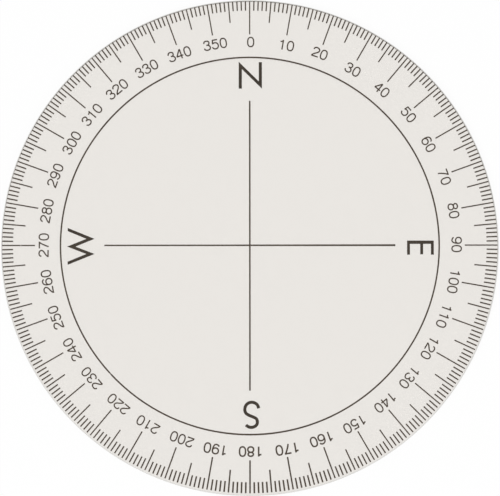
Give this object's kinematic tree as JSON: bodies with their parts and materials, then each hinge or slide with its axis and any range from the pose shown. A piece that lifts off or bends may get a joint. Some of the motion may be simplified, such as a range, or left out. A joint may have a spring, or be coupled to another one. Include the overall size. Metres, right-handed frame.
{
  "type": "full circle protractor",
  "caption": "Round clear plastic protractor disc with a printed degree scale all round, an inner circle line and a centre cross.",
  "frame": {"origin": "centre of the disc on its underside, the face that lies on the paper", "axes": "+Z out of the printed upper face, +Y towards bearing 0 (north), +X towards bearing 90 (east), so bearings run clockwise seen from above"},
  "size_m": [0.1016, 0.1016, 0.0016],
  "materials": {
    "clear_plastic": "clear sheet, polished both sides, faintly warm grey",
    "ink": "printed ink, dark warm grey, slight sheen"
  },
  "bodies": {
    "root": {"protractor_disc": "clear_plastic", "scale_circle": "ink", "centre_cross": "ink", "mark_000": "ink", "mark_010": "ink", "mark_020": "ink", "mark_030": "ink", "mark_040": "ink", "mark_050": "ink", "mark_060": "ink", "mark_070": "ink", "mark_080": "ink", "mark_090": "ink", "mark_100": "ink", "mark_110": "ink", "mark_120": "ink", "mark_130": "ink", "mark_140": "ink", "mark_150": "ink", "mark_160": "ink", "mark_170": "ink", "mark_180": "ink", "mark_190": "ink", "mark_200": "ink", "mark_210": "ink", "mark_220": "ink", "mark_230": "ink", "mark_240": "ink", "mark_250": "ink", "mark_260": "ink", "mark_270": "ink", "mark_280": "ink", "mark_290": "ink", "mark_300": "ink", "mark_310": "ink", "mark_320": "ink", "mark_330": "ink", "mark_340": "ink", "mark_350": "ink"}
  },
  "joints": []
}
